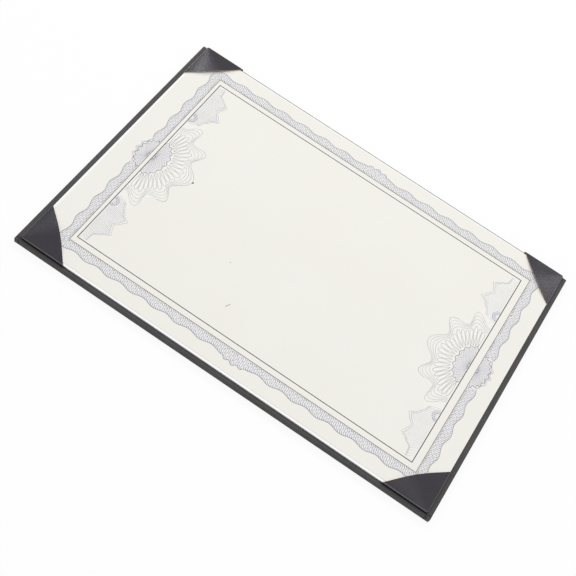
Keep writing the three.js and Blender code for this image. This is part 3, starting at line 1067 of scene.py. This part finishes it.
for side_name, side in SIDES.items():
    turns = [(i - (PETAL_COUNT - 1) / 2) * PETAL_TURN for i in range(PETAL_COUNT)]
    petals = [petal_outline(side, degrees) for degrees in turns]
    ink_plates("fan_petals_" + side_name, petals, bare_paper)
    loops = [(petal, True) for petal in petals]
    ink_lines("fan_loops_" + side_name, loops, PETAL_WIDTH, loop_ink)
    contours = [contour_line(side, tip, hollow) for tip, hollow in CONTOURS]
    ink_lines("fan_contours_" + side_name, contours, CONTOUR_WIDTH, fan_ink)

# %% [markdown]
# Beside each fan the lace goes on towards the corners as a paler cluster with two pointed lobes, a small
# bluish half ring at its start and a tail that dies out along the frame line. Its edge is given place by
# place, as v and u, because its lobes don't repeat. The right-hand lace is a little paler than the left one.

# %% Draw the flanking lace
FIRST_LOBE = [(42.0, 8.0), (46.0, 9.6), (50.5, 12.6), (54.0, 17.2), (57.0, 15.0), (61.0, 11.6)]
SECOND_LOBE = [(65.0, 13.2), (68.3, 14.8), (71.5, 10.4), (75.0, 5.8), (81.0, 5.2)]
FLANK_EDGE = FIRST_LOBE + SECOND_LOBE
FLANK_SHARES = (1.0, 0.9)
FLANK_STEPS = 6
FLANK_WIDTH = 0.26
FIELD_SHARE = 0.93
RAY_LEAN = 2.6
RAY_FOOT = 0.4
RAY_HEAD = 0.9
RAY_SPACING = 2
RAY_WIDTHS = {"left": 0.18, "right": 0.12}
BUD_RADIUS = 3.2
BUD_PLACE = 45.5
BUD_WIDTH = 2.4
BUD_STEPS = 18


def smooth_step(share):
    return share * share * (3 - 2 * share)


def flank_edge():
    """The lace's edge, drawn softly from one named place to the next."""
    points = []
    for (v, u), (next_v, next_u) in zip(FLANK_EDGE, FLANK_EDGE[1:]):
        for i in range(FLANK_STEPS):
            share = i / FLANK_STEPS
            soft_share = (share + 2 * smooth_step(share)) / 3
            points.append((v + (next_v - v) * share, u + (next_u - u) * soft_share))
    return points + [FLANK_EDGE[-1]]


def flank_outline(side, way, share):
    return [fan_place(side, u * share, way * v) for v, u in flank_edge()]


def ray_lines(side, way):
    """Thin rays through the lace, from the frame line to its edge."""
    rays = []
    for v, u in flank_edge()[::RAY_SPACING]:
        foot = fan_place(side, RAY_FOOT, way * (v - RAY_LEAN))
        head = fan_place(side, u * RAY_HEAD, way * v)
        rays.append(([foot, head], False))
    return rays


def flank_field(side, way):
    ends = [fan_place(side, 0, way * FLANK_EDGE[i][0]) for i in (-1, 0)]
    return flank_outline(side, way, FIELD_SHARE) + ends


def bud_outline(side, way):
    points = []
    for i in range(BUD_STEPS + 1):
        angle = math.radians(-90 + 180 * i / BUD_STEPS)
        v = way * BUD_PLACE + BUD_RADIUS * math.sin(angle)
        points.append(fan_place(side, BUD_RADIUS * math.cos(angle), v))
    return points


WAYS = (-1, 1)
for side_name, side in SIDES.items():
    fields = [flank_field(side, way) for way in WAYS]
    lines = [(flank_outline(side, way, share), False) for way in WAYS for share in FLANK_SHARES]
    rays = [ray for way in WAYS for ray in ray_lines(side, way)]
    buds = [(bud_outline(side, way), False) for way in WAYS]
    ink_plates("flank_fields_" + side_name, fields, flank_tints[side_name])
    ink_lines("flank_lines_" + side_name, lines, FLANK_WIDTH, flank_ink)
    ink_lines("flank_rays_" + side_name, rays, RAY_WIDTHS[side_name], flank_ink)
    ink_lines("flank_buds_" + side_name, buds, BUD_WIDTH, bud_tint)

# %% [markdown]
# The half rosettes sit on both sides of the double frame line. Each half has a dark lobed edge and a dense
# net of rings. Every ring is a wave, and each one swings against the next, so that they make a lattice.

# %% Draw the half rosettes
DISC_LOBE_DEPTH = 0.7
DISC_LOBES = 9
DISC_TURNS = range(-90, 91)
DISC_EDGE_WIDTH = 0.34
NET_WIDTH = 0.14
NET_RINGS = 8
NET_WAVES = 14
NET_SWING = 0.05


def disc_place(side, half, share, degrees, lobe):
    depth, reach = DISC_SIZES[half]
    angle = math.radians(degrees)
    grow = lobe * DISC_LOBE_DEPTH * math.cos(2 * DISC_LOBES * angle)
    u = (depth + grow) * share * math.cos(angle)
    v = (reach + grow) * share * math.sin(angle)
    if half == "inner":
        return fan_place(side, u, v)
    line = outer_line.left if side < 0 else outer_line.right
    return (line + side * (PRINT_GAP + u), outer_line.middle_y + v)


def disc_edge(side, half):
    return [disc_place(side, half, 1.0, degrees, 1) for degrees in DISC_TURNS], False


def net_ring(side, half, number):
    points = []
    for degrees in DISC_TURNS:
        wave = NET_SWING * math.sin(math.radians(2 * NET_WAVES * degrees + 180 * number))
        points.append(disc_place(side, half, (number + 1) / (NET_RINGS + 1) + wave, degrees, 0))
    return points, False


for side_name, side in SIDES.items():
    edges = [disc_edge(side, half) for half in DISC_SIZES]
    ink_lines("rosette_edges_" + side_name, edges, DISC_EDGE_WIDTH, fine_ink)
    net = [net_ring(side, half, number) for half in DISC_SIZES for number in range(NET_RINGS)]
    ink_lines("rosette_net_" + side_name, net, NET_WIDTH, net_ink)

# %% [markdown]
# The sheet is not spotless: a dark speck lies at the tip of the left fan, and a pale fibre and a faint speck
# on the bare middle. Each is a flattened pebble, pressed into the paper.

# %% Specks on the sheet
speck_dirt = make_ink("dirt of the speck", (0.030, 0.026, 0.020, 1), (0.10, 0.09, 0.07, 1))
pale_dirt = make_ink("pale dirt", (0.50, 0.48, 0.44, 1), (0.62, 0.60, 0.55, 1))
SPECKS = {
    "speck_at_fan_tip": (-91.3, 0.7, 0.85, 0.58, 60, speck_dirt),
    "fibre_near_frame": (-21.8, -62.5, 2.2, 0.40, 62, pale_dirt),
    "speck_in_middle": (-37.7, -34.8, 0.5, 0.42, 20, pale_dirt),
}
PEBBLE_DENTS = 0.35
PEBBLE_GRAIN = 1.3
SPECK_HEIGHT = 0.06


def add_speck(name, x, y, half_length, half_width, degrees, dirt):
    deselect_all()
    bpy.ops.mesh.primitive_ico_sphere_add(subdivisions=3, radius=1)
    speck = bpy.context.object
    speck.name = name
    for vertex in speck.data.vertices:
        vertex.co *= 1 + PEBBLE_DENTS * noise.noise(vertex.co * PEBBLE_GRAIN + Vector((x, y, 0)))
    size = Matrix.Diagonal((half_length * MM, half_width * MM, SPECK_HEIGHT * MM, 1))
    lean = Matrix.Rotation(math.radians(degrees), 4, "Z")
    place = Matrix.Translation((x * MM, y * MM, sheet.top * MM))
    speck.data.transform(place @ lean @ size)
    speck.data.materials.append(dirt)
    bpy.ops.object.shade_smooth()
    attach(speck, "root")


for speck_name, speck_size in SPECKS.items():
    add_speck(speck_name, *speck_size)
print("specks:", len(SPECKS))

# %% [markdown]
# The floor is a plain white sheet without edges in view. To the camera it is mostly white light, and it keeps
# part of the cover's shadow, so that the cover doesn't float. It lies a hair below the cover, since two faces
# at one height would flicker. The world lights softly, and the camera sees it as plain white.

# %% Floor and world
FLOOR_SIZE = 6.0
FLOOR_DROP = 0.02
FLOOR_WHITE_SHARE = 0.86
WORLD_LIGHT = 0.55


def make_floor():
    deselect_all()
    bpy.ops.mesh.primitive_plane_add(size=FLOOR_SIZE, location=(0, 0, 0))
    floor = bpy.context.object
    floor.name = "floor"
    floor.data.transform(Matrix.Translation((0, 0, -FLOOR_DROP * MM)))
    material, tree, shader = new_material("pale floor", Roughness=0.9, Specular_IOR_Level=0.0)[:3]
    shader.inputs["Base Color"].default_value = (0.92, 0.92, 0.92, 1)
    white = add_node(tree, "ShaderNodeEmission", {"Color": (1, 1, 1, 1), "Strength": 1.0})
    seen = add_node(tree, "ShaderNodeLightPath")
    share = compute(tree, "MULTIPLY", seen.outputs["Is Camera Ray"], FLOOR_WHITE_SHARE)
    mixed = add_node(tree, "ShaderNodeMixShader", {0: share, 1: shader.outputs[0], 2: white.outputs[0]})
    tree.links.new(mixed.outputs[0], tree.nodes["Material Output"].inputs["Surface"])
    floor.data.materials.append(material)


def make_world():
    world = bpy.data.worlds.new("studio")
    bpy.context.scene.world = world
    world.use_nodes = True
    tree = world.node_tree
    backdrop = tree.nodes["Background"]
    seen = add_node(tree, "ShaderNodeLightPath")
    strength = change_range(tree, seen.outputs["Is Camera Ray"], new=(WORLD_LIGHT, 1.0))
    tree.links.new(strength, backdrop.inputs["Strength"])
    backdrop.inputs["Color"].default_value = (1, 1, 1, 1)


make_floor()
make_world()
bpy.context.scene.view_settings.view_transform = "Standard"
print("floor and world are in place")

# %% [markdown]
# Three soft lamps light it as a product table is lit: a broad one overhead on the near side, and two weaker
# ones behind, left and right, whose reflections give the far pockets their sheen.

# %% Lamps
LAMPS = {
    "overhead_soft": ((0.1, -0.2, 1.45), 1.1, 7.6),
    "back_left_soft": ((-0.82, 0.86, 0.80), 0.36, 4.0),
    "back_right_soft": ((0.50, 1.02, 0.86), 0.36, 3.2),
}


def add_lamp(name, place, size, power):
    """Adds a square lamp of so many metres and watts, turned to the middle of the cover."""
    data = bpy.data.lights.new(name, "AREA")
    data.shape = "SQUARE"
    data.size = size
    data.energy = power
    lamp = add_object(name, data)
    lamp.location = place
    lamp.rotation_euler = (-Vector(place)).to_track_quat("-Z", "Y").to_euler()


for lamp_name, lamp_values in LAMPS.items():
    add_lamp(lamp_name, *lamp_values)
print("lamps in place:", len(LAMPS))

# %% [markdown]
# At the end the view layer is brought up to date.

# %% The end
bpy.context.view_layer.update()
